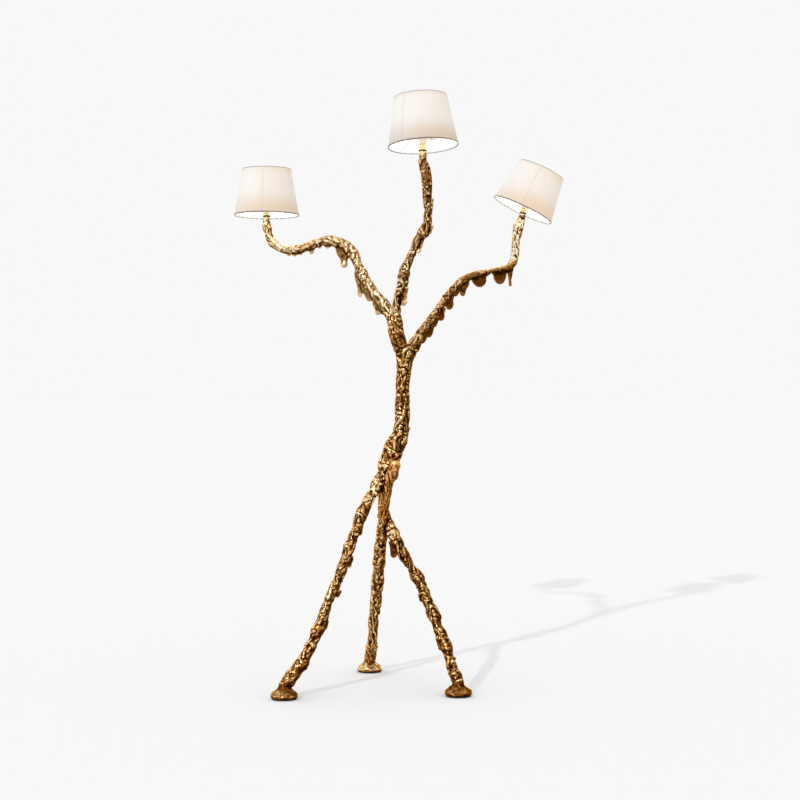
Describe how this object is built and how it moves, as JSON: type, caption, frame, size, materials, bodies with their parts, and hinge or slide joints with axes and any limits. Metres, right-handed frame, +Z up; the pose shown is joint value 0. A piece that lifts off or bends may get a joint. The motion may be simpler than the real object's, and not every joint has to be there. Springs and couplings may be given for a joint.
{
  "type": "floor lamp",
  "caption": "Floor lamp cast like dripping molten metal: splayed legs and a slender trunk that parts into arms, each ending in a tapered cloth shade that turns and tilts.",
  "frame": {"origin": "on the floor, under the middle of the lamp's box", "axes": "+Z up, -Y towards the side shown in the picture, +X to the right in the picture"},
  "size_m": [1.0288, 0.7697, 1.7062],
  "materials": {
    "casting": "golden bronze with a dark brown patina in the hollows",
    "collar": "dark patina",
    "polished_brass": "polished",
    "pad": "dark felted rubber",
    "screw": "plated",
    "terminal": "moulded",
    "lead": "smooth insulation",
    "lampholder": "cream, satin",
    "bulb_cap": "rolled",
    "bulb_glass": "frosted, lit",
    "filament": "glowing",
    "fitter": "plated",
    "frame": "white",
    "linen": "off-white linen on a white backing"
  },
  "bodies": {
    "stand": {"trunk": "casting", "leg_rear": "casting", "leg_left": "casting", "leg_right": "casting", "foot_pad_rear": "pad", "foot_pad_left": "pad", "foot_pad_right": "pad", "socket_screws": "screw", "terminal_block": "terminal", "earth_screw": "polished_brass", "cable_gland": "polished_brass", "supply_lead": "lead", "tip_nipples": "screw", "arm_left": "casting", "arm_centre": "casting", "arm_right": "casting", "lamp_lead_left": "lead", "lamp_lead_centre": "lead", "lamp_lead_right": "lead", "collar_left": "collar", "collar_centre": "collar", "collar_right": "collar", "neck_left": "polished_brass", "neck_centre": "polished_brass", "neck_right": "polished_brass", "lampholder_left": "lampholder", "lampholder_centre": "lampholder", "lampholder_right": "lampholder", "holder_contacts_left": "polished_brass", "holder_contacts_centre": "polished_brass", "holder_contacts_right": "polished_brass", "retaining_ring_left": "lampholder", "retaining_ring_centre": "lampholder", "retaining_ring_right": "lampholder", "bulb_cap_left": "bulb_cap", "bulb_cap_centre": "bulb_cap", "bulb_cap_right": "bulb_cap", "bulb_glass_left": "bulb_glass", "bulb_glass_centre": "bulb_glass", "bulb_glass_right": "bulb_glass", "bulb_filament_left": "filament", "bulb_filament_centre": "filament", "bulb_filament_right": "filament"},
    "fitter_left": {"shade_fitter_left": "fitter", "shade_pins_left": "polished_brass"},
    "shade_left": {"shade_frame_left": "frame", "shade_rings_left": "frame", "shade_cloth_left": "linen"},
    "fitter_centre": {"shade_fitter_centre": "fitter", "shade_pins_centre": "polished_brass"},
    "shade_centre": {"shade_frame_centre": "frame", "shade_rings_centre": "frame", "shade_cloth_centre": "linen"},
    "fitter_right": {"shade_fitter_right": "fitter", "shade_pins_right": "polished_brass"},
    "shade_right": {"shade_frame_right": "frame", "shade_rings_right": "frame", "shade_cloth_right": "linen"}
  },
  "joints": [
    {"name": "shade_turn_left", "type": "hinge", "parent": "stand", "child": "fitter_left", "pos_m": [-0.41441, 0.12487, 1.44], "axis": [0, 0, 1], "continuous": true},
    {"name": "shade_tilt_left", "type": "hinge", "parent": "fitter_left", "child": "shade_left", "pos_m": [-0.41441, 0.12487, 1.44], "axis": [0, 1, 0], "range_deg": [-20, 20]},
    {"name": "shade_turn_centre", "type": "hinge", "parent": "stand", "child": "fitter_centre", "pos_m": [0.05959, -0.28313, 1.588], "axis": [0, 0, 1], "continuous": true},
    {"name": "shade_tilt_centre", "type": "hinge", "parent": "fitter_centre", "child": "shade_centre", "pos_m": [0.05959, -0.28313, 1.588], "axis": [-0.7431, -0.6691, 0], "range_deg": [-25, 15]},
    {"name": "shade_turn_right", "type": "hinge", "parent": "stand", "child": "fitter_right", "pos_m": [0.39759, 0.28487, 1.472], "axis": [0.2924, 0, 0.9563], "continuous": true},
    {"name": "shade_tilt_right", "type": "hinge", "parent": "fitter_right", "child": "shade_right", "pos_m": [0.39759, 0.28487, 1.472], "axis": [0, 1, 0], "range_deg": [-28.5, 11.5]}
  ]
}
